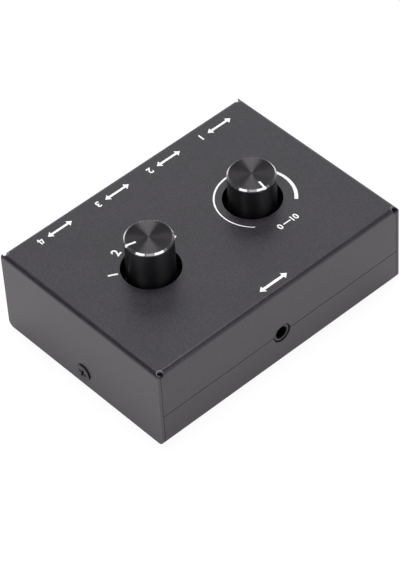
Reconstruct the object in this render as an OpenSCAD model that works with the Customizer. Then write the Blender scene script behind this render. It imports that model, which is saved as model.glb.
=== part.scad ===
// Passive stereo source selector with four rear jacks, one front jack, a four-way switch and a volume knob.
// Frame: X to the right, Y to the back, Z up. Z = 0 is the surface under the feet, X = Y = 0 the case's centre.

/* [Case] */
// Width of the case
case_w = 97; // [92:1:110]
// Depth of the case
case_d = 69.5; // [66:0.5:80]
// Height of the case, from the lower edges of the side flaps to the top
case_h = 30; // [29:0.5:34]
// Thickness of the sheet metal
sheet = 1.0; // [0.8:0.1:1.2]
// Inside radius of the bends of the top cover
top_bend_in = 0.5; // [0.2:0.1:0.6]
// Inside radius of the bends of the bottom cover
bottom_bend_in = 0.5; // [0.2:0.1:1]
// Height of the seam between the covers above the lower edges of the side flaps
seam_h = 11.9; // [11.5:0.1:13]
// Open width of that seam
seam_gap = 0.2; // [0.1:0.05:0.4]
// Gap between the side flaps and the pieces that fit between them
side_gap = 0.15; // [0.05:0.05:0.3]
// Height of the floor above the lower edges of the side flaps
floor_rise = 0.3; // [0.1:0.1:0.6]
// Radius of the lower corners of the side flaps
flap_corner_r = 2.0; // [1:0.5:4]
// Diameter of the relief holes where two bends of the top cover meet
relief_d = 1.7; // [1.6:0.1:1.8]
// Distance of the relief holes' axes from the faces of the side flaps
relief_in = 1.4; // [1.3:0.1:1.5]
// Distance of the upright relief holes' axes from the faces of the front and rear flaps
relief_back = 0.6; // [0.5:0.1:0.7]
// Distance of the level relief holes' axes from the top
relief_drop = 1.0; // [0.9:0.1:1.1]
// Width of the tab that takes each side screw
tab_w = 14; // [10:1:18]
// Height of the tab above the screw's axis
tab_over = 3.5; // [3:0.5:5]

/* [Case screws and feet] */
// Height of the side screws above the lower edges of the side flaps
screw_h = 5.1; // [5:0.1:6]
// Thread diameter of the side screws
screw_d = 3.0; // [2.5:0.5:3]
// Head diameter of the side screws
screw_head_d = 5.8; // [5.4:0.1:6]
// Length of the side screws with their heads
screw_len = 6; // [5:1:8]
// Height of the side screws' heads above the face of the flap
screw_rise = 0.4; // [0.3:0.1:0.6]
// Diameter of the rubber feet
foot_d = 8; // [6:1:10]
// Height of the rubber feet
foot_h = 1.8; // [1.5:0.1:4]
// Distance of the feet's centres from the sides of the case
foot_inset = 11.5; // [9:0.5:16]

/* [Circuit board] */
// Thickness of the board
board_t = 1.6; // [1.2:0.2:2]
// Gap between the board and the sides of the case
board_gap = 2.0; // [1.5:0.1:3]
// Distance of the standoffs' centres from the sides of the case
standoff_inset = 6.0; // [5.8:0.1:6.4]
// Width across the flats of the standoffs
standoff_af = 5.5; // [5:0.5:6]
// Diameter of the riveted end of the standoffs
standoff_stem_d = 4.0; // [3.6:0.1:4.4]
// Thread diameter of the board screws
board_screw_d = 3.0; // [2.5:0.5:3]
// Length of the board screws below their heads
board_screw_len = 5; // [4:1:6]

/* [Jacks] */
// Diameter of the bore that takes the plug
jack_bore_d = 3.6; // [3.55:0.05:3.7]
// Depth of the bore from the face of the nose
jack_bore_len = 14.75; // [14.5:0.25:15.5]
// Width of the jack body
jack_w = 11.5; // [10:0.5:13]
// Depth of the jack body
jack_len = 15; // [14.8:0.2:17]
// Height of the jack body
jack_h = 5.6; // [5.4:0.1:6]
// Diameter of the round nose
nose_d = 5.8; // [5.2:0.1:6]
// Length of the round nose
nose_len = 1.35; // [1.3:0.05:1.6]
// Depth of the face of the front nose below the face of the panel
nose_sink = 0.3; // [0.2:0.1:0.5]
// Depth of the faces of the rear noses below the face of the panel
rear_nose_sink = 0; // [0:0.05:0.1]
// Diameter of the panel holes for the jacks
jack_hole_d = 6.6; // [6.2:0.1:7]
// Sideways position of the front jack
front_jack_x = -0.3; // [-3:0.1:3]
// Number of rear jacks
rear_jacks = 4; // [4:1:4]
// Distance from the left side of the case to the axis of the first rear jack
rear_left = 17.4; // [16:0.1:18]
// Distance from the right side of the case to the axis of the last rear jack
rear_right = 15.4; // [15.4:0.1:18]

/* [Knobs] */
// Diameter of the knobs
knob_d = 15; // [14:0.5:16]
// Height of the knobs with their caps
knob_h = 17; // [15:0.5:19]
// Diameter of the holes in the top cover for the knobs
knob_hole_d = 18.5; // [17:0.5:20]
// Distance of each knob's axis from the middle of the case
knob_x = 20.5; // [19:0.5:24]
// Front to back position of the knobs' axes
knob_y = -0.95; // [-2:0.05:1]
// Height of the selector knob above the top cover
selector_rise = 12.5; // [10:0.1:13.5]
// Height of the volume knob above the top cover
volume_rise = 10.1; // [9.5:0.1:13]
// Wall thickness of the knobs
knob_wall = 1.2; // [1:0.1:1.6]
// Diameter of the boss inside the knobs
boss_d = 9; // [8.6:0.1:9.6]
// Distance from the lower end of the knob up to the boss
boss_recess = 2.5; // [2:0.1:4]
// Thickness of the edge of the metal caps
cap_edge_t = 0.3; // [0.2:0.05:0.5]
// Height of the chamfer of the metal caps
cap_chamfer_h = 0.5; // [0.3:0.05:0.8]
// Width of the chamfer of the metal caps
cap_chamfer_w = 0.5; // [0.3:0.05:1]
// Width of the pointer groove
pointer_w = 0.7; // [0.4:0.05:0.8]
// Depth of the pointer groove
pointer_depth = 0.2; // [0.1:0.05:0.25]
// Distance from the axis to the inner end of the pointer groove
pointer_start = 4.2; // [2:0.1:5.5]
// Direction of the selector pointer at its first position
selector_pointer = 164; // [150:1:170]
// Direction of the volume pointer at its lowest setting
volume_pointer = 259; // [250:1:270]

/* [Shafts] */
// Diameter of the shafts
shaft_d = 6.0; // [5.8:0.1:6.2]
// Height of the shafts' section across the flat
shaft_flat = 4.5; // [4:0.1:5]
// Radial clearance of the shafts in their bushings
run_gap = 0.05; // [0.03:0.01:0.08]
// Diameter of the bushing of the volume control
volume_bushing_d = 7.5; // [7.3:0.1:8]
// Diameter of the bushing of the selector switch
selector_bushing_d = 8.0; // [7.5:0.1:8.2]

/* [Volume control] */
// Width of the control's body
pot_w = 11; // [10.6:0.2:12]
// Depth of the control's body
pot_d = 12; // [11:0.5:13]
// Height of the control's body with its top plate
pot_h = 9.5; // [9.1:0.1:10.5]
// Thickness of the top plate and its straps
pot_plate = 1.1; // [0.8:0.1:1.3]
// Diameter of the chambers inside the control
pot_chamber_d = 9.2; // [9:0.1:9.6]
// Full turn of the volume control
volume_turn = 300; // [270:5:300]

/* [Selector switch] */
// Diameter of the switch body
switch_d = 24; // [23:0.5:25]
// Height of the switch body
switch_h = 10; // [9.5:0.1:11]
// Thickness of the switch's contact base
switch_base_t = 3; // [2.5:0.1:3.5]
// Wall thickness of the switch housing
switch_wall = 2; // [1.8:0.1:2.2]
// Angle between two positions of the switch
switch_step = 45; // [40:1:45]
// Number of positions of the switch
switch_positions = 4; // [4:1:4]
// Diameter of the detent ball
ball_d = 2.5; // [2.2:0.1:2.8]
// Depth of the detent grooves
detent_depth = 0.4; // [0.2:0.1:0.5]

/* [Hidden] */
$fn = 64;
eps = 0.01;

// Height of the lower edges of the side flaps, of the floor and of the top face
case_z = foot_h - floor_rise;
floor_z = foot_h;
top_z = case_z + case_h;
seam_z = case_z + seam_h;
top_bend = top_bend_in + sheet;
bottom_bend = bottom_bend_in + sheet;
// Half width and half depth of the case
half_w = case_w / 2;
half_d = case_d / 2;
// Width of the pieces between the side flaps
inner_w = case_w - 2 * sheet - 2 * side_gap;

// Side screws
screw_z = case_z + screw_h;
screw_r = screw_d / 2;
screw_head_r = screw_head_d / 2;
screw_cone = screw_head_r - screw_r;
seat_gap = 0.03;
screw_hole_gap = 0.15;
slot_w = 0.7;
slot_l = 3.0;
slot_t = 0.9;

// Board
jack_z = seam_z;
board_top = jack_z - jack_h / 2;
board_z = board_top - board_t;
standoff_h = board_z - floor_z - sheet;
board_w = case_w - 2 * sheet - 2 * board_gap;
board_d = case_d - 2 * sheet - 2 * board_gap;
board_corner_r = 2;
board_hole_gap = 0.1;
rivet_gap = 0.01;
pin_gap = 0.2;
pin_past = 1.0;
board_screw_head_d = 5.6;
board_screw_head_h = 2.0;
standoff_points = [for (sx = [-1, 1], sy = [-1, 1])
    [sx * (half_w - standoff_inset), sy * (half_d - standoff_inset)]];
foot_points = [for (sx = [-1, 1], sy = [-1, 1])
    [sx * (half_w - foot_inset), sy * (half_d - foot_inset)]];
// Notch in the board's edge round the end of each side screw
screw_notch_w = screw_d + 3;
screw_notch_x = half_w + screw_rise - screw_len - 1;

// Jacks, each as [x, side], where side is -1 at the front and 1 at the back
rear_pitch = (case_w - rear_left - rear_right) / (rear_jacks - 1);
rear_x = [for (i = [0 : rear_jacks - 1]) -half_w + rear_left + i * rear_pitch];
jack_places = concat([[front_jack_x, -1]], [for (x = rear_x) [x, 1]]);
nose_y = half_d - nose_sink;
rear_nose_y = half_d - rear_nose_sink;
jack_r = jack_bore_d / 2;
mouth_chamfer = 0.4;
// Contact springs along the bore, each as [side, start, end]
sleeve_spring = [-1, 2.2, 5.8];
ring_spring = [1, 6.4, 10.0];
tip_spring = [-1, 10.6, 14.2];
spring_t = 0.3;
spring_h = 1.4;
spring_slot_gap = 0.1;
spring_tip_gap = 0.07;
spring_bow = 0.55;
leg_w = 1.0;
peg_d = 1.2;
peg_h = 1.2;
peg_x = 4.4;

// Knobs and shafts
knob_r = knob_d / 2;
cap_t = cap_edge_t + cap_chamfer_h;
cap_spigot_d = 11;
cap_spigot_h = 0.9;
selector_top = top_z + selector_rise;
volume_top = top_z + volume_rise;
roof_t = 2.2;
knob_edge = 0.3;
rib_t = 1.0;
rib_end = 4.5;
shaft_r = shaft_d / 2;
shaft_fit = 0.03;
shaft_end_gap = 0.2;
boss_gap = 0.8;
// Distance from the top of a cap down to the end of its shaft and to the end of its bushing
shaft_top_drop = cap_t + roof_t + shaft_end_gap;
bushing_drop = knob_h - boss_recess + boss_gap;
flange_r = shaft_r + 0.9;
flange_t = 0.8;

// Volume control
volume_pos = [knob_x, knob_y];
deck_h = (pot_h - pot_plate) / 2;
deck_floor = 1.2;
track_t = 0.3;
wiper_t = 0.2;
brush_gap = 0.05;
brush_h = 0.5;
brush_l = 0.8;
brush_w = 0.4;
brush_y = 0.6;
track_r = pot_chamber_d / 2 - 1.2;
track_in_r = 2.1;
track_open = 8;
pin_root = 1.5;
pin_row = 1.5;
pin_row_step = 2;
stop_gap = 0.2;
rotor_t = 1.4;
pot_stem_d = 3.0;
pot_pivot_d = 2.0;
pot_hub_r = pot_chamber_d / 2 - 1.3;
pot_pin_pitch = 2.5;
pot_pin_w = 0.8;
pot_pin_t = 0.3;
strap_w = 4;
strap_tab_w = 1.4;
pot_stop_gap = 1;
pot_stop_w = (360 - volume_turn) / 2 - pot_stop_gap;
// Pins, each as [x, distance in front of the body, deck]
pot_pins = [for (deck = [0, 1], i = [-1, 0, 1]) [i * pot_pin_pitch, pin_row + pin_row_step * deck, deck]];

// Selector switch
selector_pos = [-knob_x, knob_y];
switch_r = switch_d / 2;
switch_in_r = switch_r - switch_wall;
switch_roof = 1.5;
switch_travel = switch_step * (switch_positions - 1);
contact_head_d = 2.2;
contact_head_t = 0.25;
wiper_w = 1.6;
wiper_foot = 0.8;
wiper_root = 1.2;
switch_pin_d = 0.9;
hub_r = 4.6;
arm_w = 4.4;
rotor_under = 1.1;
rotor_over = 1.0;
ball_r = ball_d / 2;
ball_clear = 0.05;
pocket_gap = 0.05;
ball_at = switch_in_r - ball_clear - ball_r;
pocket_start = 3.9;
spring_wire = 0.35;
spring_turns = 5;
switch_stop_gap = 1;
switch_stop_w = 7;
stop_arm_w = 4;
stop_arm_r = switch_in_r - 0.5;
stop_lug_reach = 1.8;
stop_lug_r = switch_in_r - stop_lug_reach;
switch_contact_r = stop_lug_r - wiper_foot;
common_r = hub_r + wiper_foot / 2;
common_half = 80;
pivot_d = 3.0;
shaft_lift = 0.2;

// Colours
coat = "#55545a";
black = "#1b1b1d";
nickel = "#b9b6ae";
resin = "#2d2d30";
steel = "#a9adb2";
brass = "#c2a25a";

// Quarter of a ring in the first quadrant, the section of a bend
module bend_2d(inside) {
    intersection() {
        difference() {
            circle(inside + sheet);
            circle(inside);
        }
        square(inside + sheet);
    }
}

// Sector of a full disc between two angles, less than half a turn
module sector_2d(r, from, to) {
    mid = (from + to) / 2;
    far = 2 * r;
    intersection() {
        circle(r);
        polygon([[0, 0], far * [cos(from), sin(from)], far * [cos(mid), sin(mid)] * 2,
            far * [cos(to), sin(to)]]);
    }
}

// Round shaft section with one flat, whose middle looks along +X
module d_2d(r, flat) {
    intersection() {
        circle(r);
        translate([-r, -r]) square([flat, 2 * r]);
    }
}

// Plate that stands on the X side of the case, drawn on its outline
module side_plate(x, t) {
    translate([x, 0, 0]) rotate([90, 0, 90]) linear_extrude(t) children();
}

// Section along Y, extruded to a width that is centred on X = 0
module across(width) {
    translate([-width / 2, 0, 0]) rotate([90, 0, 90]) linear_extrude(width) children();
}

// Section in X and Z, extruded to a length that is centred on Y = 0
module along(len) {
    translate([0, len / 2, 0]) rotate([90, 0, 0]) linear_extrude(len) children();
}

// Round holes in the front and back flaps, at the seam
module jack_panel_holes() {
    for (p = jack_places)
        translate([p[0], p[1] * half_d, jack_z]) rotate([90, 0, 0])
            cylinder(d = jack_hole_d, h = 4 * bottom_bend, center = true);
}

// Outline of a side flap in Y and Z, with round lower corners
module side_flap_2d() {
    r = flap_corner_r;
    h = top_z - top_bend - case_z;
    translate([-half_d, case_z + r]) square([case_d, h - r]);
    translate([-half_d + r, case_z]) square([case_d - 2 * r, r + eps]);
    for (sy = [-1, 1]) translate([sy * (half_d - r), case_z + r]) circle(r);
}

// Countersink of a side screw, opening towards +X
module countersink() {
    r = screw_head_r - screw_rise + seat_gap;
    translate([-r, 0, 0]) rotate([0, 90, 0]) cylinder(r1 = 0, r2 = r + 1, h = r + 1);
}

module top_cover() {
    flap_h = top_z - top_bend - seam_z - seam_gap / 2;
    color(coat)
    difference() {
        union() {
            translate([-half_w + top_bend, -half_d + top_bend, top_z - sheet])
                cube([case_w - 2 * top_bend, case_d - 2 * top_bend, sheet]);
            for (side = [0, 1]) mirror([side, 0, 0]) {
                translate([half_w - top_bend, 0, top_z - top_bend])
                    along(case_d) bend_2d(top_bend_in);
                side_plate(half_w - sheet, sheet) side_flap_2d();
            }
            for (side = [0, 1]) mirror([0, side, 0]) {
                translate([0, half_d - top_bend, top_z - top_bend])
                    across(case_w - 2 * top_bend) bend_2d(top_bend_in);
                translate([-inner_w / 2, half_d - sheet, seam_z + seam_gap / 2])
                    cube([inner_w, sheet, flap_h]);
            }
        }
        for (sx = [-1, 1]) {
            translate([sx * knob_x, knob_y, top_z - 2 * sheet])
                cylinder(d = knob_hole_d, h = 3 * sheet, $fn = 96);
            for (sy = [-1, 1]) translate([sx * (half_w - relief_in), sy * half_d, top_z]) {
                translate([0, -sy * relief_back, -top_bend]) cylinder(d = relief_d, h = 2 * top_bend);
                translate([0, 0, -relief_drop]) rotate([90, 0, 0])
                    cylinder(d = relief_d, h = 2 * sheet, center = true);
            }
        }
        for (side = [0, 1]) mirror([side, 0, 0]) translate([half_w, 0, screw_z]) {
            countersink();
            rotate([0, 90, 0])
                cylinder(r = screw_r + screw_hole_gap, h = 4 * sheet, center = true);
        }
        jack_panel_holes();
    }
}

module bottom_cover() {
    flap_h = seam_z - seam_gap / 2 - floor_z - bottom_bend;
    tab_h = screw_z + tab_over - floor_z - bottom_bend;
    tab_x = half_w - sheet;
    notch_w = 1.2;
    color(coat)
    difference() {
        union() {
            translate([-inner_w / 2, -half_d + bottom_bend, floor_z])
                cube([inner_w, case_d - 2 * bottom_bend, sheet]);
            for (side = [0, 1]) mirror([0, side, 0]) {
                translate([0, half_d - bottom_bend, floor_z + bottom_bend])
                    across(inner_w) mirror([0, 1]) bend_2d(bottom_bend_in);
                translate([-inner_w / 2, half_d - sheet, floor_z + bottom_bend])
                    cube([inner_w, sheet, flap_h]);
            }
        }
        for (side = [0, 1]) mirror([side, 0, 0])
            translate([tab_x - bottom_bend, -tab_w / 2 - notch_w, floor_z - 1])
                cube([bottom_bend + 1, tab_w + 2 * notch_w, sheet + 2]);
        for (p = standoff_points) translate([p[0], p[1], floor_z - 1])
            cylinder(d = standoff_stem_d + 2 * rivet_gap, h = sheet + 2);
        jack_panel_holes();
    }
    color(coat)
    for (side = [0, 1]) mirror([side, 0, 0])
        difference() {
            union() {
                translate([tab_x - bottom_bend, 0, floor_z + bottom_bend])
                    along(tab_w) mirror([0, 1]) bend_2d(bottom_bend_in);
                translate([tab_x - sheet, -tab_w / 2, floor_z + bottom_bend])
                    cube([sheet, tab_w, tab_h]);
            }
            translate([half_w, 0, screw_z]) countersink();
            translate([half_w - 3 * sheet, 0, screw_z]) rotate([0, 90, 0])
                cylinder(r = screw_r, h = 3 * sheet);
        }
}

// Countersunk screw with a cross recess, its head's face looking towards +X
module side_screw() {
    difference() {
        rotate([0, 90, 0]) rotate_extrude()
            polygon([[0, 0], [screw_head_r, 0], [screw_r, -screw_cone], [screw_r, -screw_len + 0.5],
                [screw_r - 0.5, -screw_len], [0, -screw_len]]);
        for (turn = [20, 110]) rotate([turn, 0, 0])
            translate([-slot_t, -slot_l / 2, -slot_w / 2]) cube([slot_t + 1, slot_l, slot_w]);
    }
}

module case_screws() {
    color(black)
    for (side = [0, 1]) mirror([side, 0, 0])
        translate([half_w + screw_rise, 0, screw_z]) side_screw();
}

module feet() {
    edge = 0.5;
    r = foot_d / 2;
    color(black)
    for (p = foot_points) translate([p[0], p[1], 0]) rotate_extrude()
        polygon([[0, 0], [r - edge, 0], [r, edge], [r, foot_h], [0, foot_h]]);
}

module board_standoffs() {
    color(brass)
    for (p = standoff_points) translate([p[0], p[1], 0])
        difference() {
            union() {
                translate([0, 0, floor_z]) cylinder(d = standoff_stem_d, h = sheet + eps);
                translate([0, 0, floor_z + sheet])
                    cylinder(d = standoff_af / cos(30), h = standoff_h, $fn = 6);
            }
            cylinder(d = board_screw_d, h = 3 * board_z);
        }
}

module board_screws() {
    color(steel)
    for (p = standoff_points) translate([p[0], p[1], board_top])
        difference() {
            rotate_extrude()
                polygon([[0, -board_screw_len], [board_screw_d / 2, -board_screw_len],
                    [board_screw_d / 2, 0], [board_screw_head_d / 2, 0],
                    [board_screw_head_d / 2, board_screw_head_h - 0.5],
                    [board_screw_head_d / 2 - 0.5, board_screw_head_h], [0, board_screw_head_h]]);
            for (turn = [0, 90]) rotate([0, 0, turn])
                translate([-slot_l / 2, -slot_w / 2, board_screw_head_h - slot_t])
                    cube([slot_l, slot_w, slot_t + 1]);
        }
}

// Places a child at each jack, its mouth at Y = 0 and its bore along +Y
module at_jack(p) {
    if (p[1] < 0) translate([p[0], -nose_y, jack_z]) children();
    else translate([p[0], rear_nose_y, jack_z]) rotate([0, 0, 180]) children();
}

// Round holes of the board under one jack
module jack_board_holes() {
    for (s = [sleeve_spring, ring_spring, tip_spring])
        translate([s[0] * spring_x(), s[1] + spring_slot_gap + leg_w / 2, 0])
            cylinder(d = leg_w + 2 * pin_gap, h = 4 * jack_h, center = true);
    for (sx = [-1, 1])
        translate([sx * peg_x, nose_len + jack_len / 2, 0])
            cylinder(d = peg_d + pin_gap, h = 4 * jack_h, center = true);
}

module circuit_board() {
    r = board_corner_r;
    color("#1d5c38")
    difference() {
        translate([0, 0, board_z]) linear_extrude(board_t)
        difference() {
            union() {
                square([board_w, board_d - 2 * r], center = true);
                square([board_w - 2 * r, board_d], center = true);
                for (sx = [-1, 1], sy = [-1, 1])
                    translate([sx * (board_w / 2 - r), sy * (board_d / 2 - r)]) circle(r);
            }
            for (p = standoff_points) translate(p) circle(d = board_screw_d + 2 * board_hole_gap);
            for (side = [0, 1]) mirror([side, 0])
                translate([screw_notch_x, -screw_notch_w / 2]) square([board_w, screw_notch_w]);
            translate(volume_pos) {
                for (p = pot_pins) translate([p[0], -pot_d / 2 - p[1]])
                    circle(d = pot_pin_w + 2 * pin_gap);
                for (sx = [-1, 1]) translate([sx * (pot_w + pot_plate) / 2, 0])
                    circle(d = strap_tab_w + 3 * pin_gap);
            }
            translate(selector_pos) {
                for (a = contact_angles()) rotate(a) translate([switch_contact_r, 0])
                    circle(d = switch_pin_d + pin_gap);
                for (a = common_angles()) rotate(a) translate([common_r, 0])
                    circle(d = switch_pin_d + pin_gap);
            }
        }
        for (p = jack_places) at_jack(p) jack_board_holes();
    }
}

// Distance from the bore's axis to the middle of the spring's foot
function spring_x() = jack_r + spring_tip_gap + spring_bow + spring_t / 2;

// One bowed contact spring with a leg through the board
module contact_spring(s) {
    y0 = s[1] + spring_slot_gap;
    y1 = s[2] - spring_slot_gap;
    ym = (y0 + leg_w + y1) / 2;
    near = jack_r + spring_tip_gap;
    foot = near + spring_bow;
    leg_z = -jack_h / 2 - board_t - pin_past;
    mirror([s[0] < 0 ? 1 : 0, 0, 0]) {
        translate([0, 0, -spring_h / 2]) linear_extrude(spring_h)
            polygon([[foot, y0], [foot, y0 + leg_w], [near, ym], [foot, y1],
                [foot + spring_t, y1], [near + spring_t, ym], [foot + spring_t, y0 + leg_w],
                [foot + spring_t, y0]]);
        translate([foot, y0, leg_z]) cube([spring_t, leg_w, -leg_z]);
    }
}

// Room for one contact spring in the jack body, open to the bore
module spring_slot(s) {
    foot = jack_r + spring_tip_gap + spring_bow;
    mirror([s[0] < 0 ? 1 : 0, 0, 0]) {
        translate([0, s[1], -spring_h / 2 - spring_slot_gap])
            cube([foot + spring_t, s[2] - s[1], spring_h + 2 * spring_slot_gap]);
        translate([foot, s[1] + spring_slot_gap, -jack_h])
            cube([spring_t, leg_w, jack_h]);
    }
}

module jack_housing(p) {
    color(resin)
    at_jack(p)
        difference() {
            union() {
                translate([-jack_w / 2, nose_len, -jack_h / 2]) cube([jack_w, jack_len, jack_h]);
                rotate([-90, 0, 0]) cylinder(d = nose_d, h = nose_len + eps);
                for (sx = [-1, 1])
                    translate([sx * peg_x, nose_len + jack_len / 2, -jack_h / 2 - peg_h])
                        cylinder(d = peg_d, h = peg_h + eps);
            }
            translate([0, -eps, 0]) rotate([-90, 0, 0]) cylinder(r = jack_r, h = jack_bore_len + eps);
            rotate([-90, 0, 0])
                cylinder(r1 = jack_r + mouth_chamfer, r2 = jack_r, h = mouth_chamfer);
            for (s = [sleeve_spring, ring_spring, tip_spring]) spring_slot(s);
        }
}

module front_jack_housing() jack_housing(jack_places[0]);
module rear_jack_housing_1() jack_housing(jack_places[1]);
module rear_jack_housing_2() jack_housing(jack_places[2]);
module rear_jack_housing_3() jack_housing(jack_places[3]);
module rear_jack_housing_4() jack_housing(jack_places[4]);

module jack_contacts(s) {
    color(brass)
    for (p = jack_places) at_jack(p) contact_spring(s);
}

module jack_sleeve_contacts() jack_contacts(sleeve_spring);
module jack_ring_contacts() jack_contacts(ring_spring);
module jack_tip_contacts() jack_contacts(tip_spring);

// Plastic body of a knob, its cap's top at Z = 0 and its pointer along +X
module knob_body() {
    r = knob_r;
    color(black)
    difference() {
        union() {
            rotate_extrude($fn = 96)
                polygon([[0, -cap_t], [r - 0.1, -cap_t], [r, -cap_t - 0.2], [r, -knob_h + knob_edge],
                    [r - knob_edge, -knob_h], [r - knob_wall, -knob_h],
                    [r - knob_wall, -cap_t - roof_t], [0, -cap_t - roof_t]]);
            translate([0, 0, -knob_h + boss_recess])
                cylinder(d = boss_d, h = knob_h - boss_recess - cap_t - roof_t + eps);
            for (turn = [0, 90]) rotate([0, 0, turn + 45])
                translate([-r + knob_wall / 2, -rib_t / 2, -knob_h + rib_end])
                    cube([knob_d - knob_wall, rib_t, knob_h - rib_end - cap_t - roof_t + eps]);
        }
        translate([0, 0, -knob_h]) linear_extrude(knob_h - cap_t - roof_t)
            d_2d(shaft_r + shaft_fit, shaft_flat + 2 * shaft_fit);
        translate([0, 0, -cap_t - cap_spigot_h]) cylinder(d = cap_spigot_d, h = cap_t + 1);
    }
}

// Section of the pointer groove along a radius
module pointer_2d() {
    r = knob_r;
    in = r - cap_chamfer_w;
    d = pointer_depth;
    polygon([[pointer_start, 1], [pointer_start, -d], [in - d / 3, -d],
        [r + 1, -d - cap_chamfer_h * (1 + (1 + d / 3) / cap_chamfer_w)], [r + 1, 1]]);
}

// Turned metal cap of a knob
module knob_cap() {
    r = knob_r;
    color(nickel)
    difference() {
        rotate_extrude($fn = 96)
            polygon([[0, 0], [r - cap_chamfer_w, 0], [r, -cap_chamfer_h], [r, -cap_t],
                [cap_spigot_d / 2, -cap_t], [cap_spigot_d / 2, -cap_t - cap_spigot_h],
                [0, -cap_t - cap_spigot_h]]);
        translate([0, pointer_w / 2, 0]) rotate([90, 0, 0]) linear_extrude(pointer_w) pointer_2d();
    }
}

// Places children on the axis of a knob, turned to its pointer
module at_volume(z) translate([knob_x, knob_y, z]) rotate([0, 0, volume_pointer]) children();
module at_selector(z) translate([-knob_x, knob_y, z]) rotate([0, 0, selector_pointer]) children();

module volume_knob_body() at_volume(volume_top) knob_body();
module volume_knob_cap() at_volume(volume_top) knob_cap();
module selector_knob_body() at_selector(selector_top) knob_body();
module selector_knob_cap() at_selector(selector_top) knob_cap();

// Leg of a pin from the body of the volume control down through the board
module volume_pin(p) {
    z = board_top + p[2] * deck_h + deck_floor / 2;
    y = -pot_d / 2 - p[1];
    t = pot_pin_t;
    translate([p[0] - pot_pin_w / 2, y - t / 2, z - t / 2])
        cube([pot_pin_w, p[1] + pin_root + t / 2, t]);
    translate([p[0] - pot_pin_w / 2, y - t / 2, board_z - pin_past])
        cube([pot_pin_w, t, z + t / 2 - board_z + pin_past]);
}

module volume_pins() {
    color(steel)
    translate([volume_pos[0], volume_pos[1], 0])
        for (p = pot_pins) volume_pin(p);
}

// Room inside a deck of the volume control, with the end stop in the upper one
module deck_room_2d(level) {
    stop_at = volume_pointer + pot_stop_w + pot_stop_gap;
    difference() {
        circle(d = pot_chamber_d);
        if (level == 1) rotate(stop_at)
            difference() {
                sector_2d(pot_chamber_d, -pot_stop_w / 2, pot_stop_w / 2);
                circle(pot_hub_r + stop_gap);
            }
    }
}

// One deck of the volume control
module volume_deck(level, hole_d) {
    z = board_top + level * deck_h;
    color(resin)
    translate([volume_pos[0], volume_pos[1], 0])
        difference() {
            translate([-pot_w / 2, -pot_d / 2, z]) cube([pot_w, pot_d, deck_h]);
            translate([0, 0, z + deck_floor]) linear_extrude(deck_h) deck_room_2d(level);
            translate([0, 0, z - 1]) cylinder(d = hole_d, h = deck_h);
            for (p = pot_pins) if (p[2] == level) volume_pin(p);
        }
}

module volume_lower_case() volume_deck(0, pot_pivot_d + 2 * run_gap);
module volume_upper_case() volume_deck(1, pot_stem_d + 4 * run_gap);

module volume_frame() {
    top = board_top + pot_h;
    strap_z = board_top;
    color(steel)
    translate([volume_pos[0], volume_pos[1], 0])
    difference() {
        union() {
            translate([-pot_w / 2 - pot_plate, -pot_d / 2, top - pot_plate])
                cube([pot_w + 2 * pot_plate, pot_d, pot_plate]);
            for (side = [0, 1]) mirror([side, 0, 0]) {
                translate([pot_w / 2, -strap_w / 2, strap_z])
                    cube([pot_plate, strap_w, pot_h - eps]);
                translate([pot_w / 2 + pot_plate / 4, -strap_tab_w / 2, board_z - pin_past])
                    cube([pot_plate / 2, strap_tab_w, board_t + pin_past + eps]);
            }
            translate([0, 0, top - eps])
                cylinder(d = volume_bushing_d, h = volume_top - bushing_drop - top + eps);
        }
        translate([0, 0, top - pot_plate - 1])
            cylinder(r = shaft_r + run_gap, h = volume_top - top + 2);
    }
}

// Horseshoe of resistive track on each deck's floor, open towards the pins
module volume_tracks() {
    color("#3a3a3a")
    translate([volume_pos[0], volume_pos[1], 0])
        for (level = [0, 1])
            translate([0, 0, board_top + level * deck_h + deck_floor]) linear_extrude(track_t)
                difference() {
                    circle(track_r);
                    circle(track_in_r);
                    sector_2d(pot_chamber_d, 270 - track_open, 270 + track_open);
                }
}

// Height of the underside of a rotor above its deck's floor
function rotor_rise() = track_t + brush_gap + brush_h + wiper_t;

module volume_rotors() {
    color("#d8d4c4")
    at_volume(0)
        for (level = [0, 1])
            translate([0, 0, board_top + level * deck_h + deck_floor + rotor_rise()])
                linear_extrude(rotor_t)
                    difference() {
                        union() {
                            circle(pot_hub_r);
                            if (level == 1) intersection() {
                                circle(pot_chamber_d / 2 - stop_gap);
                                sector_2d(pot_chamber_d, -pot_stop_w / 2, pot_stop_w / 2);
                            }
                        }
                        d_2d(pot_stem_d / 2, pot_stem_d * 0.8);
                    }
}

// Contact strip under each rotor with two brushes on the track
module volume_wipers() {
    color(brass)
    at_volume(0)
        for (level = [0, 1])
            translate([0, 0, board_top + level * deck_h + deck_floor + track_t + brush_gap]) {
                translate([0, 0, brush_h]) linear_extrude(wiper_t)
                    difference() {
                        circle(pot_hub_r);
                        circle(pot_stem_d / 2 + 0.3);
                    }
                for (sy = [-1, 1])
                    translate([(track_r + track_in_r - brush_l) / 2, sy * brush_y - brush_w / 2, 0])
                        cube([brush_l, brush_w, brush_h + eps]);
            }
}

module volume_shaft() {
    top = volume_top - shaft_top_drop;
    plate_z = board_top + pot_h - pot_plate;
    bushing_top = volume_top - bushing_drop;
    color(steel)
    at_volume(0) {
        translate([0, 0, board_top + shaft_lift])
            cylinder(d = pot_pivot_d, h = deck_floor - shaft_lift + eps);
        translate([0, 0, board_top + deck_floor + track_t])
            linear_extrude(plate_z - shaft_lift - board_top - deck_floor - track_t)
                d_2d(pot_stem_d / 2, pot_stem_d * 0.8);
        translate([0, 0, board_top + deck_floor]) cylinder(d = pot_stem_d, h = track_t + eps);
        translate([0, 0, plate_z - shaft_lift])
            cylinder(r = shaft_r, h = bushing_top + shaft_lift - plate_z);
        translate([0, 0, bushing_top - eps]) linear_extrude(top - bushing_top + eps)
            d_2d(shaft_r, shaft_flat);
    }
}

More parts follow.
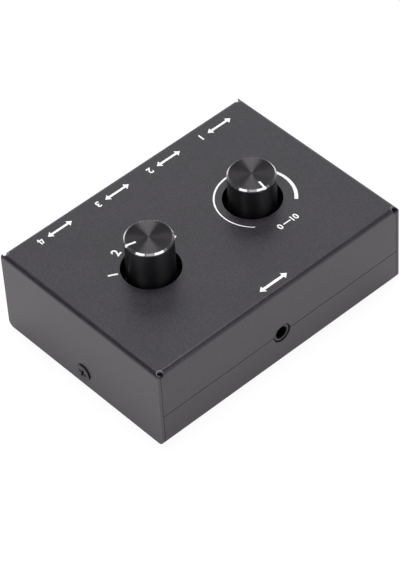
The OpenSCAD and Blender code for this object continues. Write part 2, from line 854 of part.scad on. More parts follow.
// Angles of the eight fixed contacts and the two common contacts of the switch
function contact_angles() =
    [for (pole = [0, 1], i = [0 : switch_positions - 1]) selector_pointer + 90 + pole * 180 - i * switch_step];
function common_angles() = [for (pole = [0, 1]) selector_pointer + 90 + pole * 180 - switch_travel / 2];

module selector_base() {
    color("#7b4a2a")
    translate([selector_pos[0], selector_pos[1], board_top])
        difference() {
            cylinder(r = switch_r, h = switch_base_t);
            translate([0, 0, -1]) cylinder(d = pivot_d + 2 * run_gap, h = switch_base_t + 2);
            for (a = contact_angles()) rotate([0, 0, a]) translate([switch_contact_r, 0, -1])
                cylinder(d = switch_pin_d, h = switch_base_t + 2);
            for (a = common_angles()) rotate([0, 0, a]) translate([common_r, 0, -1])
                cylinder(d = switch_pin_d, h = switch_base_t + 2);
        }
}

module selector_contacts() {
    z = board_top + switch_base_t;
    color(brass)
    translate([selector_pos[0], selector_pos[1], 0])
        for (a = contact_angles()) rotate([0, 0, a]) translate([switch_contact_r, 0, 0]) {
            translate([0, 0, z]) cylinder(d = contact_head_d, h = contact_head_t);
            translate([0, 0, board_z - pin_past]) cylinder(d = switch_pin_d, h = z - board_z + pin_past + eps);
        }
}

module selector_commons() {
    z = board_top + switch_base_t;
    half = contact_head_d / 2;
    color(brass)
    translate([selector_pos[0], selector_pos[1], 0])
        for (a = common_angles()) rotate([0, 0, a]) {
            translate([0, 0, z]) linear_extrude(contact_head_t)
                difference() {
                    sector_2d(common_r + half, -common_half, common_half);
                    circle(common_r - half);
                }
            translate([common_r, 0, board_z - pin_past])
                cylinder(d = switch_pin_d, h = z - board_z + pin_past + eps);
        }
}

// Room inside the switch housing, with a groove at each position and a stop at each end of the turn
module switch_room_2d() {
    groove_r = ball_r + 0.2;
    // The stop arm lies opposite the ball and turns clockwise from one stop to the other
    arm_half = asin(stop_arm_w / 2 / stop_lug_r);
    lug_at = arm_half + switch_stop_gap + switch_stop_w / 2;
    difference() {
        union() {
            circle(switch_in_r);
            for (i = [0 : switch_positions - 1]) rotate(selector_pointer - i * switch_step)
                translate([switch_in_r + detent_depth - groove_r, 0]) circle(groove_r);
        }
        for (a = [lug_at, -switch_travel - lug_at]) rotate(selector_pointer + 180 + a)
            difference() {
                sector_2d(switch_r, -switch_stop_w / 2, switch_stop_w / 2);
                circle(stop_lug_r);
            }
    }
}

module selector_frame() {
    z = board_top + switch_base_t;
    top = board_top + switch_h;
    color("#8f9296")
    translate([selector_pos[0], selector_pos[1], 0])
    difference() {
        union() {
            translate([0, 0, z]) cylinder(r = switch_r, h = top - z);
            translate([0, 0, top - switch_roof / 2])
                cylinder(d = selector_bushing_d, h = selector_top - bushing_drop - top + switch_roof / 2);
        }
        translate([0, 0, z - 1]) linear_extrude(top - switch_roof - z + 1) switch_room_2d();
        translate([0, 0, z]) cylinder(r = shaft_r + run_gap, h = selector_top);
    }
}

// Height of the middle of the rotor, where the ball runs
function rotor_z() = board_top + switch_base_t + rotor_under;
function rotor_h() = switch_h - switch_base_t - switch_roof - rotor_under - rotor_over;

module selector_rotor() {
    mid = rotor_z() + rotor_h() / 2;
    color("#d8d4c4")
    at_selector(0)
    difference() {
        union() {
            translate([0, 0, rotor_z()]) cylinder(r = hub_r, h = rotor_h());
            intersection() {
                translate([0, -arm_w / 2, rotor_z()]) cube([switch_in_r, arm_w, rotor_h()]);
                translate([0, 0, rotor_z()]) cylinder(r = ball_at + ball_r / 2, h = rotor_h());
            }
            intersection() {
                translate([-stop_arm_r, -stop_arm_w / 2, rotor_z()])
                    cube([stop_arm_r, stop_arm_w, rotor_h()]);
                translate([0, 0, rotor_z()]) cylinder(r = stop_arm_r, h = rotor_h());
            }
        }
        translate([0, 0, rotor_z() - 1]) linear_extrude(rotor_h() + 2) d_2d(shaft_r, shaft_flat);
        translate([pocket_start, 0, mid]) rotate([0, 90, 0])
            cylinder(r = ball_r + pocket_gap, h = switch_in_r);
    }
}

module selector_detent_ball() {
    color(steel)
    at_selector(0) translate([ball_at, 0, rotor_z() + rotor_h() / 2]) sphere(d = ball_d);
}

// Points of a ring of wire round a point of the coil
function coil_ring(t, r, pitch, wire) =
    [for (k = [0 : 7])
        let (a = 45 * k, out = r + wire / 2 * cos(a))
        [pitch * t / 360 + wire / 2 * sin(a), out * cos(t), out * sin(t)]];

// Compression spring along +X behind the ball, swept as one tube
module selector_detent_spring() {
    gap = ball_at - ball_r - pocket_start;
    room = gap - spring_wire - 0.1;
    pitch = room / spring_turns;
    r = ball_r - 0.1 - spring_wire / 2;
    rings = [for (t = [0 : 15 : 360 * spring_turns]) coil_ring(t, r, pitch, spring_wire)];
    n = len(rings);
    points = [for (ring = rings) each ring];
    sides = [for (i = [0 : n - 2], k = [0 : 7])
        each [[8 * i + k, 8 * i + (k + 1) % 8, 8 * (i + 1) + k],
            [8 * i + (k + 1) % 8, 8 * (i + 1) + (k + 1) % 8, 8 * (i + 1) + k]]];
    ends = [[for (k = [7 : -1 : 0]) k], [for (k = [0 : 7]) 8 * (n - 1) + k]];
    color(steel)
    at_selector(0) translate([pocket_start + spring_wire / 2 + 0.05, 0, rotor_z() + rotor_h() / 2])
        polyhedron(points, concat(sides, ends));
}

// Two contact bridges under the rotor, from a common contact to a fixed contact
module selector_wipers() {
    z = board_top + switch_base_t + contact_head_t + brush_gap;
    drop = rotor_z() - z - wiper_t;
    color(brass)
    at_selector(0)
        for (side = [0, 1]) rotate([0, 0, 90 + 180 * side]) {
            translate([hub_r - wiper_root, -wiper_w / 2, rotor_z() - wiper_t])
                cube([switch_contact_r + wiper_foot / 2 - hub_r + wiper_root, wiper_w, wiper_t]);
            for (x = [common_r, switch_contact_r])
                translate([x - wiper_foot / 2, -wiper_foot / 2, z])
                    cube([wiper_foot, wiper_foot, drop + eps]);
        }
}

module selector_shaft() {
    top = selector_top - shaft_top_drop;
    roof_z = board_top + switch_h - switch_roof;
    bushing_top = selector_top - bushing_drop;
    color(steel)
    at_selector(0) {
        translate([0, 0, board_top + shaft_lift])
            cylinder(d = pivot_d, h = rotor_z() - board_top - shaft_lift + eps);
        translate([0, 0, rotor_z()]) linear_extrude(rotor_h() + eps) d_2d(shaft_r, shaft_flat);
        translate([0, 0, rotor_z() + rotor_h()]) cylinder(r = flange_r, h = flange_t);
        translate([0, 0, rotor_z() + rotor_h() + flange_t - eps])
            cylinder(r = shaft_r, h = bushing_top - rotor_z() - rotor_h() - flange_t + eps);
        translate([0, 0, bushing_top - eps]) linear_extrude(top - bushing_top + eps)
            d_2d(shaft_r, shaft_flat);
    }
}

top_cover();
bottom_cover();
case_screws();
feet();
board_standoffs();
board_screws();
circuit_board();
front_jack_housing();
rear_jack_housing_1();
rear_jack_housing_2();
rear_jack_housing_3();
rear_jack_housing_4();
jack_sleeve_contacts();
jack_ring_contacts();
jack_tip_contacts();
volume_frame();
volume_upper_case();
volume_lower_case();
volume_tracks();
volume_pins();
volume_shaft();
volume_rotors();
volume_wipers();
volume_knob_body();
volume_knob_cap();
selector_frame();
selector_base();
selector_contacts();
selector_commons();
selector_shaft();
selector_rotor();
selector_wipers();
selector_detent_ball();
selector_detent_spring();
selector_knob_body();
selector_knob_cap();
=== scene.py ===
"""Looks of an audio source selector: coated case, printed marks, glossy knobs with turned caps."""

import math

import bmesh
import bpy
from mathutils import Matrix, Vector


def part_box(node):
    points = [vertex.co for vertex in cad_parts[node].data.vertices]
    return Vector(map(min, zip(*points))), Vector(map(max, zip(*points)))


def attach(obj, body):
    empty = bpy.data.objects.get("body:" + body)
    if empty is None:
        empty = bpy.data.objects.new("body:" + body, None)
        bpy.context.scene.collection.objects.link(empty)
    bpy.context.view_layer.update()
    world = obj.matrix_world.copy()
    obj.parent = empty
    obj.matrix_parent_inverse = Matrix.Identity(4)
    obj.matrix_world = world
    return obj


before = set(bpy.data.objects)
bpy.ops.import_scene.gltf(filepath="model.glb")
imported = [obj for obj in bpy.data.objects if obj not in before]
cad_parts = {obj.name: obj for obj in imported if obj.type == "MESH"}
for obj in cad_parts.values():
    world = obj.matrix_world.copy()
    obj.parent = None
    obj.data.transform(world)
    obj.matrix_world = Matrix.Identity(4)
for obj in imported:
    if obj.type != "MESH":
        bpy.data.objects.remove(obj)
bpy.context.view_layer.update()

MM = 0.001
WHITE = (1, 1, 1, 1)

# The part of a noise's range over which colours and values are spread
NOISE_RANGE = (0.3, 0.7)

# How many times finer the relief of a plain material is than its colour, and its height in metres
RELIEF_FINER = 4
RELIEF_HEIGHT = 2e-5

# Two inputs and the output of a mix node, for colours and for values
MIX_SOCKETS = {"RGBA": (6, 7, 2), "FLOAT": (2, 3, 0)}


# Shared helpers

def srgb(r, g, b):
    """Linear colour of an 8-bit display colour."""
    def line(c):
        c /= 255
        return c / 12.92 if c <= 0.04045 else ((c + 0.055) / 1.055) ** 2.4
    return (line(r), line(g), line(b), 1.0)


def srgb_pair(pair):
    """Linear colours of two display colours."""
    return [srgb(*colour) for colour in pair]


def grey(level):
    return (level, level, level, 1)


def new_material(name):
    """Material with its node tree and its shader."""
    mat = bpy.data.materials.new(name)
    mat.use_nodes = True
    tree = mat.node_tree
    return mat, tree, tree.nodes["Principled BSDF"]


def put(tree, target, source):
    """Links a socket to an input, or gives the input a fixed value."""
    if isinstance(source, bpy.types.NodeSocket):
        tree.links.new(source, target)
    else:
        target.default_value = source


def feed(tree, node, **sources):
    """Puts sockets or values into the named inputs of a node."""
    for key, source in sources.items():
        put(tree, node.inputs[key.replace("_", " ")], source)


def add(tree, kind, *sources, **values):
    """Adds a node. Inputs come in order or by a name with a capital, properties by their name."""
    node = tree.nodes.new(kind)
    for key, value in values.items():
        if key[0].islower():
            setattr(node, key, value)
    feed(tree, node, **{key: value for key, value in values.items() if key[0].isupper()})
    for i, source in enumerate(sources):
        put(tree, node.inputs[i], source)
    return node


def grain(tree, scale, detail=3.0):
    """Noise that is fixed to the object, in its own metres."""
    coords = add(tree, "ShaderNodeTexCoord").outputs["Object"]
    return add(tree, "ShaderNodeTexNoise", Vector=coords, Scale=scale, Detail=detail).outputs["Fac"]


def ramp(tree, source, colours, stops=NOISE_RANGE):
    """Two colours spread over a noise."""
    node = add(tree, "ShaderNodeValToRGB", Fac=source)
    for element, stop, colour in zip(node.color_ramp.elements, stops, colours):
        element.position = stop
        element.color = colour
    return node.outputs["Color"]


def spread(tree, source, low, high, span=NOISE_RANGE):
    """A value that goes from low to high while its source crosses a span."""
    node = add(tree, "ShaderNodeMapRange", Value=source,
               From_Min=span[0], From_Max=span[1], To_Min=low, To_Max=high)
    return node.outputs["Result"]


def blend(tree, kind, factor, first, second, **values):
    """Mix of two colours or two values."""
    node = add(tree, "ShaderNodeMix", data_type=kind, Factor=factor, **values)
    a, b, result = MIX_SOCKETS[kind]
    put(tree, node.inputs[a], first)
    put(tree, node.inputs[b], second)
    return node.outputs[result]


def bump(tree, source, strength, height, **values):
    """Normal of a small relief."""
    node = add(tree, "ShaderNodeBump", Height=source, Strength=strength, Distance=height, **values)
    return node.outputs["Normal"]


def distance_from(tree, coords, centre, stretch, folded=False):
    """Distance from a point, with each axis stretched. Folded, all the corners are alike."""
    place = add(tree, "ShaderNodeTexCoord").outputs[coords]
    if folded:
        place = add(tree, "ShaderNodeVectorMath", place, operation="ABSOLUTE").outputs["Vector"]
    for step, value in (("SUBTRACT", centre), ("MULTIPLY", stretch)):
        place = add(tree, "ShaderNodeVectorMath", place, value, operation=step).outputs["Vector"]
    return add(tree, "ShaderNodeVectorMath", place, operation="LENGTH").outputs["Value"]


def finish_material(name, colours, scale, rough, metallic=0.0, relief=0.1):
    """Plain material: one noise varies its colour and roughness, and a finer one its relief."""
    mat, tree, shader = new_material(name)
    noise = grain(tree, scale)
    fine = grain(tree, scale * RELIEF_FINER, detail=2.0)
    feed(tree, shader,
         Base_Color=ramp(tree, noise, srgb_pair(colours)),
         Roughness=spread(tree, noise, *rough),
         Normal=bump(tree, fine, relief, RELIEF_HEIGHT),
         Metallic=metallic)
    return mat


def give(material, *nodes):
    """Gives a material to CAD nodes."""
    for name in nodes:
        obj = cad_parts[name]
        for slot in obj.material_slots:
            slot.material = material
        if not obj.material_slots:
            obj.data.materials.append(material)


def piece(name, mesh, material, body):
    """Adds a mesh as a piece that rides on a body."""
    obj = bpy.data.objects.new(name, mesh)
    bpy.context.collection.objects.link(obj)
    obj.data.materials.append(material)
    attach(obj, body)
    return obj


# Materials. Colours are display colours, and each roughness is a pair of limits.

# Colours of the coat's level faces, and of its faces that stand up, which hold a painted tint of
# light
COAT = {"level": ((36, 33, 40), (40, 37, 44)), "upright": ((40, 33, 43), (44, 37, 47)),
        "broad": 60, "fine": 1800, "grains": (0.68, 1.5), "grain_stops": (0.35, 0.75),
        "rough": (0.33, 0.40), "relief": 0.28, "height": 4e-5}

# Painted highlight round the corner reliefs of the case, in millimetres: where one is, how much
# more Z counts than X and Y, and the distances at which the painted highlight on its edge is full
# and ends
RELIEF_EDGE_HIGHLIGHT = {"centre": (47.1, 34.15, 31.5), "fall": 1.2, "radius": 0.86, "edge": 1.3,
          "colour": (120, 118, 122)}

# The jacks, in millimetres: height of their axis, and the distances from it at which the painted
# black shade in their opening is full and ends
JACK = {"colours": ((20, 20, 21), (28, 28, 29)), "scale": 500, "rough": (0.4, 0.5),
        "z": 13.4, "radius": 2.1, "edge": 2.3, "mouth": (6, 6, 6), "shine": (0.5, 0.02)}

# The caps, in shares of their radius: where the rim starts and where the dish ends. The depth of
# the dish and the height of the rings' relief are in metres.
CAP = {"disc": ((54, 52, 54), (66, 64, 66)), "disc_rough": (0.28, 0.32), "rings": 60,
       "rim": (214, 214, 218), "rim_rough": 0.16, "rim_start": (0.929, 0.935),
       "dish": 3.2e-4, "dish_end_squared": 0.87, "relief": 0.05, "height": 1e-5}

# How strongly the turned grooves stretch reflections, and the whole turns from the direction of the
# grooves to the one in which they stretch them
CAP_GROOVES, KNOB_GROOVES = 1.0, 0.9
ACROSS = 0.25


def powder_coat():
    """Satin coat with fine orange peel and slightly paler grains, and a painted highlight round the
    corner reliefs.
    Its faces that stand up carry a painted tint of light, a little redder than its level ones."""
    mat, tree, shader = new_material("powder_coat")
    broad = grain(tree, COAT["broad"], detail=2.0)
    fine = grain(tree, COAT["fine"], detail=2.0)
    normal = add(tree, "ShaderNodeTexCoord").outputs["Normal"]
    # Painted tint of light: faces that stand up take redder and bluer colours than level ones, by
    # the Z of the normal
    base = blend(tree, "RGBA", add(tree, "ShaderNodeSeparateXYZ", normal).outputs["Z"],
                 ramp(tree, broad, srgb_pair(COAT["upright"])),
                 ramp(tree, broad, srgb_pair(COAT["level"])))
    grains = ramp(tree, fine, [grey(level) for level in COAT["grains"]], COAT["grain_stops"])
    tinted = blend(tree, "RGBA", 1.0, base, grains, blend_type="MULTIPLY")
    # Painted highlight: a paler colour on the edge round each corner relief hole and on the top of
    # its wall, for the light that the rounded edge catches
    away = distance_from(tree, "Object", [c * MM for c in RELIEF_EDGE_HIGHLIGHT["centre"]],
                         (1, 1, RELIEF_EDGE_HIGHLIGHT["fall"]), folded=True)
    cut = spread(tree, away, 0, 1, (RELIEF_EDGE_HIGHLIGHT["edge"] * MM, RELIEF_EDGE_HIGHLIGHT["radius"] * MM))
    feed(tree, shader,
         Base_Color=blend(tree, "RGBA", cut, tinted, srgb(*RELIEF_EDGE_HIGHLIGHT["colour"])),
         Roughness=spread(tree, fine, *COAT["rough"]),
         Normal=bump(tree, fine, COAT["relief"], COAT["height"]))
    return mat


def turned_finish(mat, strength):
    """Stretches the reflections across fine grooves that run round the axis."""
    tree = mat.node_tree
    tangent = add(tree, "ShaderNodeTangent", direction_type="RADIAL", axis="Z").outputs["Tangent"]
    feed(tree, tree.nodes["Principled BSDF"],
         Tangent=tangent, Anisotropic=strength, Anisotropic_Rotation=ACROSS)


def jack_shell(name, node):
    """Dark resin, matte inside the jack's opening, where black is painted for its shade."""
    mat = finish_material(name, JACK["colours"], JACK["scale"], JACK["rough"])
    tree = mat.node_tree
    shader = tree.nodes["Principled BSDF"]
    low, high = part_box(node)
    axis = ((low[0] + high[0]) / 2, 0, JACK["z"] * MM)
    # Painted shade: black colour, with less shine, inside the opening of the jack
    away = distance_from(tree, "Object", axis, (1, 0, 1))
    mouth = spread(tree, away, 0, 1, (JACK["edge"] * MM, JACK["radius"] * MM))
    resin = shader.inputs["Base Color"].links[0].from_socket
    feed(tree, shader,
         Base_Color=blend(tree, "RGBA", mouth, resin, srgb(*JACK["mouth"])),
         Specular_IOR_Level=spread(tree, mouth, *JACK["shine"], (0, 1)))
    return mat


def cap_metal():
    """Turned cap: a slightly dished dark disc with fine rings, and a bright cut rim."""
    mat, tree, shader = new_material("cap_metal")
    radius = distance_from(tree, "Generated", (0.5, 0.5, 0.5), (2, 2, 0))
    rings = add(tree, "ShaderNodeTexNoise", noise_dimensions="1D",
                W=radius, Scale=CAP["rings"], Detail=3.0).outputs["Fac"]
    rim = spread(tree, radius, 0, 1, CAP["rim_start"])
    disc = ramp(tree, rings, srgb_pair(CAP["disc"]))
    disc_rough = spread(tree, rings, *CAP["disc_rough"])
    square = add(tree, "ShaderNodeMath", radius, radius, operation="MULTIPLY").outputs["Value"]
    dish = add(tree, "ShaderNodeMath", square, CAP["dish_end_squared"], operation="MINIMUM")
    hollow = bump(tree, dish.outputs["Value"], 1.0, CAP["dish"])
    feed(tree, shader,
         Base_Color=blend(tree, "RGBA", rim, disc, srgb(*CAP["rim"])),
         Roughness=blend(tree, "FLOAT", rim, disc_rough, CAP["rim_rough"]),
         Normal=bump(tree, rings, CAP["relief"], CAP["height"], Normal=hollow),
         Metallic=1.0)
    turned_finish(mat, CAP_GROOVES)
    return mat


coat = powder_coat()
knob_plastic = finish_material(
    "knob_plastic", ((7, 6, 10), (11, 10, 15)), 300, (0.33, 0.37), relief=0.02)
turned_finish(knob_plastic, KNOB_GROOVES)
cap_finish = cap_metal()
screw_black = finish_material(
    "screw_black", ((48, 43, 47), (60, 54, 58)), 900, (0.35, 0.5), metallic=0.5)
rubber = finish_material(
    "rubber", ((22, 22, 23), (30, 30, 30)), 700, (0.75, 0.9), relief=0.2)
jack_resin = finish_material(
    "jack_resin", ((16, 16, 17), (24, 24, 25)), 500, (0.35, 0.5))
switch_resin = finish_material(
    "switch_resin", ((92, 56, 34), (112, 70, 44)), 400, (0.5, 0.6))
rotor_resin = finish_material(
    "rotor_resin", ((205, 200, 184), (216, 211, 196)), 400, (0.45, 0.6))
carbon = finish_material(
    "carbon_track", ((26, 26, 27), (36, 36, 36)), 900, (0.5, 0.65))
brass = finish_material(
    "brass", ((190, 158, 88), (208, 178, 108)), 600, (0.25, 0.4), metallic=1.0)
plated = finish_material(
    "plated_steel", ((172, 173, 175), (192, 193, 195)), 500, (0.28, 0.42), metallic=1.0)
board_mask = finish_material(
    "board_mask", ((20, 82, 46), (26, 94, 54)), 120, (0.25, 0.35))
ink = finish_material(
    "white_ink", ((228, 228, 228), (242, 242, 242)), 900, (0.5, 0.6), relief=0.05)

give(coat, "top_cover", "bottom_cover")
give(knob_plastic, "volume_knob_body", "selector_knob_body")
give(cap_finish, "volume_knob_cap", "selector_knob_cap")
give(screw_black, "case_screws")
give(rubber, "feet")
give(jack_resin, "volume_upper_case", "volume_lower_case")
for housing in ["front_jack_housing"] + [f"rear_jack_housing_{i}" for i in range(1, 5)]:
    give(jack_shell(f"{housing}_resin", housing), housing)
give(switch_resin, "selector_base")
give(rotor_resin, "selector_rotor", "volume_rotors")
give(carbon, "volume_tracks")
give(brass, "jack_sleeve_contacts", "jack_ring_contacts", "jack_tip_contacts", "board_standoffs",
     "selector_contacts", "selector_commons", "selector_wipers", "volume_wipers")
give(plated, "board_screws", "volume_frame", "volume_pins", "volume_shaft", "selector_frame",
     "selector_shaft", "selector_detent_ball", "selector_detent_spring")
give(board_mask, "circuit_board")

# Printed marks on the top. Lengths are in millimetres, and angles in degrees.

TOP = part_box("top_cover")[1][2]
INK = 0.02 * MM

# Axes of the two knobs
SELECTOR = (-20.5, -0.95)
VOLUME = (20.5, -0.95)

# Height of a numeral as a share of its font's size, and what is added round it for weight
FONT_SHARE = 0.73
FONT_WEIGHT = 0.034

# A four with an open top, 1 high, and its middle
OPEN_FOUR = [(0.42, 0), (0.58, 0), (0.58, 0.24), (0.72, 0.24), (0.72, 0.40), (0.58, 0.40),
             (0.58, 1), (0.42, 1), (0.42, 0.40), (0.17, 0.40), (0.36, 1), (0.19, 1),
             (0, 0.40), (0, 0.24), (0.42, 0.24)]
FOUR_MIDDLE = (0.36, 0.5)

# Length, height and thickness of the arrows, and length of a head as a share of its height
REAR_ARROW = (9.4, 2.5, 0.8)
FRONT_ARROW = (10.9, 2.65, 0.95)
ARROW_HEAD = 0.62

# Places of the rear jacks' marks, and how far along X the arrow and the number of each are
REAR_MARKS = [(-30.9, 30.3), (-8.4, 30.0), (12.35, 29.8), (33.25, 29.6)]
REAR_ARROW_SHIFT, REAR_NUMBER_SHIFT = 1.9, -5.6
REAR_NUMBER_HEIGHT = 2.5
FRONT_MARK = (0.45, -31.0)

# Angle and radius of the four position numbers round the selector
POSITIONS = [(151.2, 11.5), (106.2, 12.3), (61.2, 12.6), (19.5, 13.1)]
POSITION_HEIGHT = 3.0

# The arc round the volume knob, from its stop at low volume, and the marks below it
ARC = {"centre": (21.21, -1.45), "radius": 12.82, "thin": 0.25, "growth": 0.9,
       "start": 226, "sweep": 274, "steps": 96}
VOLUME_LOW, VOLUME_DASH, VOLUME_HIGH = (17.8, -15.75), (20.55, -15.75), (23.65, -15.75)
VOLUME_HEIGHT = 2.2
HALF_DASH = (1.4, 0.22)


def prism(bm, low, high):
    """Adds the closed body between two like outlines."""
    low = [bm.verts.new(point) for point in low]
    high = [bm.verts.new(point) for point in high]
    n = len(low)
    bm.faces.new(high)
    bm.faces.new(low[::-1])
    for i in range(n):
        j = (i + 1) % n
        bm.faces.new((low[i], low[j], high[j], high[i]))


def mesh_from(name, bm):
    """Mesh with outward faces. The bmesh is freed."""
    bmesh.ops.recalc_face_normals(bm, faces=bm.faces)
    mesh = bpy.data.meshes.new(name)
    bm.to_mesh(mesh)
    bm.free()
    return mesh


def mark(name, outline, x=0, y=0, angle=0):
    """Printed mark on the top: a closed outline, turned by an angle and moved to a place."""
    c, s = math.cos(math.radians(angle)), math.sin(math.radians(angle))
    points = [(x + px * c - py * s, y + px * s + py * c) for px, py in outline]
    bm = bmesh.new()
    prism(bm, *([(px * MM, py * MM, z) for px, py in points] for z in (TOP, TOP + INK)))
    return piece(name, mesh_from(name, bm), ink, "case")


def numeral(name, text, x, y, angle, height):
    """Printed number, with its middle at a place and its foot turned by an angle."""
    if text == "4":
        outline = [((px - FOUR_MIDDLE[0]) * height, (py - FOUR_MIDDLE[1]) * height)
                   for px, py in OPEN_FOUR]
        return mark(name, outline, x, y, angle)
    curve = bpy.data.curves.new(name, "FONT")
    curve.body = text
    curve.align_x = "CENTER"
    curve.align_y = "CENTER"
    curve.size = height / FONT_SHARE * MM
    curve.offset = height * FONT_WEIGHT * MM
    curve.extrude = INK / 2
    obj = bpy.data.objects.new(name + "_curve", curve)
    bpy.context.collection.objects.link(obj)
    bpy.context.view_layer.update()
    shown = obj.evaluated_get(bpy.context.evaluated_depsgraph_get())
    mesh = bpy.data.meshes.new_from_object(shown)
    bpy.data.objects.remove(obj)
    xs = [v.co.x for v in mesh.vertices]
    ys = [v.co.y for v in mesh.vertices]
    middle = Vector(((min(xs) + max(xs)) / 2, (min(ys) + max(ys)) / 2, 0))
    mesh.transform(Matrix.Translation(-middle))
    place = Matrix.Translation((x * MM, y * MM, TOP + INK / 2))
    mesh.transform(place @ Matrix.Rotation(math.radians(angle), 4, "Z"))
    mesh.name = name
    mesh.materials.clear()
    return piece(name, mesh, ink, "case")


def double_arrow(length, height, bar):
    """Outline of a plain two-headed arrow, centred on the origin."""
    a, h, b = length / 2, height / 2, bar / 2
    head = height * ARROW_HEAD
    return [(-a, 0), (-a + head, h), (-a + head, b), (a - head, b), (a - head, h), (a, 0),
            (a - head, -h), (a - head, -b), (-a + head, -b), (-a + head, -h)]


def volume_arc():
    """Outline of an arc that grows wider clockwise, up to the stop at high volume."""
    x, y = ARC["centre"]
    radius = ARC["radius"]
    outer, inner = [], []
    for i in range(ARC["steps"] + 1):
        share = i / ARC["steps"]
        a = math.radians(ARC["start"] - ARC["sweep"] * share)
        low = radius - (ARC["thin"] + ARC["growth"] * share)
        outer.append((x + radius * math.cos(a), y + radius * math.sin(a)))
        inner.append((x + low * math.cos(a), y + low * math.sin(a)))
    return outer + inner[::-1]


# The rear marks are read from the rear, where the first one is at the right
for i, (x, y) in enumerate(REAR_MARKS):
    mark(f"rear_mark_{i + 1}", double_arrow(*REAR_ARROW), x + REAR_ARROW_SHIFT, y)
    numeral(f"rear_number_{i + 1}", str(4 - i), x + REAR_NUMBER_SHIFT, y, 180, REAR_NUMBER_HEIGHT)

mark("front_mark", double_arrow(*FRONT_ARROW), *FRONT_MARK)

for i, (angle, r) in enumerate(POSITIONS):
    numeral(f"position_number_{i + 1}", str(i + 1),
            SELECTOR[0] + r * math.cos(math.radians(angle)),
            SELECTOR[1] + r * math.sin(math.radians(angle)), angle - 90, POSITION_HEIGHT)

mark("volume_arc", volume_arc())
numeral("volume_low", "0", *VOLUME_LOW, 0, VOLUME_HEIGHT)
mark("volume_dash", [(side * HALF_DASH[0], end * HALF_DASH[1])
                     for side, end in ((-1, 1), (1, 1), (1, -1), (-1, -1))], *VOLUME_DASH)
numeral("volume_high", "10", *VOLUME_HIGH, 0, VOLUME_HEIGHT)

# Paint in the pointer grooves of the caps, in millimetres, and angles of the pointers at rest

SELECTOR_POINTER, VOLUME_POINTER = 164, 259
GROOVE = {"width": 0.7, "depth": 0.2, "start": 4.2, "radius": 7.5,
          "chamfer_w": 0.5, "chamfer_h": 0.5}

# How far the paint is below the top, inside the edge and off the groove's sides. Then the width of
# the lap over the chamfer, its reach past the edge and its thickness.
PAINT = {"sink": 0.03, "inset": 0.02, "gap": 0.005,
         "lap_width": 1.1, "lap_reach": 0.02, "lap_rise": 0.03}


def pointer_paint(name, node, centre, angle, body):
    """Paint that fills the groove of a cap and laps over its chamfer."""
    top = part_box(node)[1][2] / MM
    radius, start, depth = GROOVE["radius"], GROOVE["start"], GROOVE["depth"]
    sink, rise = PAINT["sink"], PAINT["lap_rise"]
    inner = radius - GROOVE["chamfer_w"]
    slope = GROOVE["chamfer_h"] / GROOVE["chamfer_w"]
    end, edge = radius - PAINT["inset"], radius + PAINT["lap_reach"]
    fill = [(start, -depth), (inner - depth / 3, -depth),
            (end, -depth - slope * (radius - inner + depth / 3)),
            (end, -sink - slope * (radius - inner)), (inner, -sink), (start, -sink)]
    lap = [(inner, 0), (edge, -slope * (edge - inner)),
           (edge, rise - slope * (edge - inner)), (inner + rise, 0)]
    bm = bmesh.new()
    for shape, half in ((fill, GROOVE["width"] / 2 - PAINT["gap"]), (lap, PAINT["lap_width"] / 2)):
        prism(bm, *([(r * MM, y * MM, (top + z) * MM) for r, z in shape] for y in (-half, half)))
    place = Vector(centre) * MM
    bm.transform(Matrix.Translation((place.x, place.y, 0))
                 @ Matrix.Rotation(math.radians(angle), 4, "Z"))
    return piece(name, mesh_from(name, bm), ink, body)


pointer_paint("selector_pointer_paint", "selector_knob_cap", SELECTOR, SELECTOR_POINTER,
              "selector_control")
pointer_paint("volume_pointer_paint", "volume_knob_cap", VOLUME, VOLUME_POINTER,
              "volume_control")

# Camera, placed by the photograph's perspective. Lengths are in metres from here on.

AZIMUTH, ELEVATION, ROLL = (math.radians(a) for a in (-39.920, 45.665, -3.793))
DISTANCE = 0.89645
SLIDE = (-0.00076, -0.005727)
AIM = Vector((0, 0, 0.0165))
LENS, SENSOR_HEIGHT = 188.41, 36
CLIP_START = 0.01


def photo_camera():
    """Camera that looks at the aim from a distance, slid in its own plane and rolled."""
    back = Vector((math.sin(AZIMUTH) * math.cos(ELEVATION),
                   -math.cos(AZIMUTH) * math.cos(ELEVATION),
                   math.sin(ELEVATION)))
    right = Vector((0, 0, 1)).cross(back).normalized()
    up = back.cross(right)
    cam_x = right * math.cos(ROLL) + up * math.sin(ROLL)
    cam_y = up * math.cos(ROLL) - right * math.sin(ROLL)
    place = AIM + back * DISTANCE + cam_x * SLIDE[0] + cam_y * SLIDE[1]
    data = bpy.data.cameras.new("camera")
    data.sensor_fit = "VERTICAL"
    data.sensor_height = SENSOR_HEIGHT
    data.lens = LENS
    data.clip_start = CLIP_START
    cam = bpy.data.objects.new("camera", data)
    bpy.context.collection.objects.link(cam)
    turn = Matrix((cam_x, cam_y, back)).transposed()
    cam.matrix_world = Matrix.Translation(place) @ turn.to_4x4()
    bpy.context.scene.camera = cam


# Floor and light

FLOOR_HALF = 3.0
FLOOR_COLOUR = (232, 232, 232)

# Grey and glow of the floor, as reflections see it and as the camera does
FLOOR_REFLECTED = (0.6, 0.475)
FLOOR_SEEN = (0.10, 0.93)

# Brightness that reflections see in the room, by the sine of the elevation
STUDIO = [(0.0, 0.13), (0.18, 0.13), (0.30, 0.06), (0.75, 0.06), (0.9, 0.15), (1.0, 0.15)]
EVEN = 0.26

# Place, size and brightness of each softbox, where 1 is white, and the point that all of them face
SOFTBOXES = {
    "rear": ((0.729, 0.867, 0.64), (1.5, 0.95), 1.3),
    "over": ((0.107, 0.128, 1.19), (0.56, 0.56), 10.2),
    "left": ((-1.055, -0.13, 0.593), (0.66, 0.87), 1.8),
    "front": ((0.039, -1.06, 0.593), (0.72, 0.87), 1.75),
    "right": ((0.547, -1.116, 0.36), (0.40, 0.70), 0.7),
    "near": ((-0.475, -0.763, 0.90), (0.84, 0.35), 0.6),
}
SOFTBOX_AIM = Vector((0, 0, 0.03))


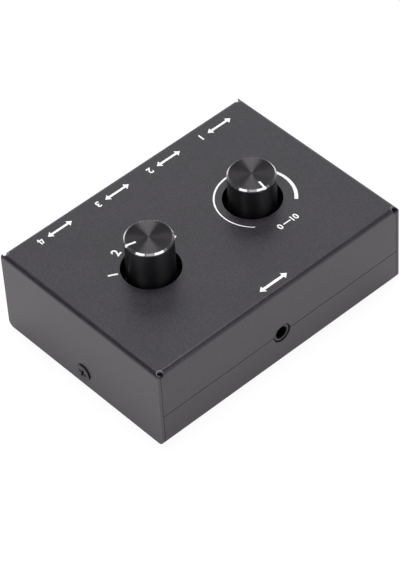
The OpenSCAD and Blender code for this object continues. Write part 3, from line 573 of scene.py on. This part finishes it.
def by_ray(tree, output, even, reflected, seen):
    """Shows one shader to even light, one to reflections and one to the camera."""
    path = add(tree, "ShaderNodeLightPath").outputs
    mirror = add(tree, "ShaderNodeMath", path["Is Glossy Ray"], path["Is Transmission Ray"],
                 operation="MAXIMUM").outputs["Value"]
    mix = add(tree, "ShaderNodeMixShader", mirror, even, reflected).outputs["Shader"]
    both = add(tree, "ShaderNodeMixShader", path["Is Camera Ray"], mix, seen).outputs["Shader"]
    add(tree, output, Surface=both)


def glowing(tree, level, strength):
    """Grey surface that glows."""
    plain = add(tree, "ShaderNodeBsdfDiffuse", Color=grey(level)).outputs["BSDF"]
    glow = add(tree, "ShaderNodeEmission", Color=WHITE, Strength=strength).outputs["Emission"]
    return add(tree, "ShaderNodeAddShader", plain, glow).outputs["Shader"]


def pale_floor():
    """White floor. The camera sees it a little brighter than the light alone makes it."""
    mesh = bpy.data.meshes.new("floor")
    s = FLOOR_HALF
    mesh.from_pydata([(-s, -s, 0), (s, -s, 0), (s, s, 0), (-s, s, 0)], [], [(0, 1, 2, 3)])
    obj = bpy.data.objects.new("floor", mesh)
    bpy.context.collection.objects.link(obj)
    mat = bpy.data.materials.new("pale_floor")
    mat.use_nodes = True
    tree = mat.node_tree
    tree.nodes.clear()
    pale = add(tree, "ShaderNodeBsdfDiffuse", Color=srgb(*FLOOR_COLOUR)).outputs["BSDF"]
    by_ray(tree, "ShaderNodeOutputMaterial", pale,
           glowing(tree, *FLOOR_REFLECTED), glowing(tree, *FLOOR_SEEN))
    obj.data.materials.append(mat)


def world_light():
    """Even soft light. Reflections show a dim horizon, a darker band and a soft sky over it."""
    world = bpy.data.worlds.new("studio")
    bpy.context.scene.world = world
    world.use_nodes = True
    tree = world.node_tree
    tree.nodes.clear()
    coords = add(tree, "ShaderNodeTexCoord").outputs["Generated"]
    height = add(tree, "ShaderNodeSeparateXYZ", coords).outputs["Z"]
    sky = add(tree, "ShaderNodeValToRGB", Fac=height)
    while len(sky.color_ramp.elements) < len(STUDIO):
        sky.color_ramp.elements.new(0.5)
    for stop, (position, level) in zip(sky.color_ramp.elements, STUDIO):
        stop.position = position
        stop.color = grey(level)
    backgrounds = [
        add(tree, "ShaderNodeBackground", Color=colour, Strength=strength).outputs["Background"]
        for colour, strength in ((WHITE, EVEN), (sky.outputs["Color"], 1.0), (WHITE, 1.0))]
    by_ray(tree, "ShaderNodeOutputWorld", *backgrounds)


def softbox(name, place, size, radiance):
    """Square-on softbox of a given brightness."""
    light = bpy.data.lights.new(name, "AREA")
    light.shape = "RECTANGLE"
    light.size, light.size_y = size
    light.energy = radiance * math.pi * size[0] * size[1]
    obj = bpy.data.objects.new(name, light)
    bpy.context.collection.objects.link(obj)
    obj.location = place
    obj.rotation_euler = (SOFTBOX_AIM - Vector(place)).to_track_quat("-Z", "Y").to_euler()


photo_camera()
pale_floor()
world_light()
for name, settings in SOFTBOXES.items():
    softbox(name, *settings)

bpy.context.scene.view_settings.view_transform = "Standard"
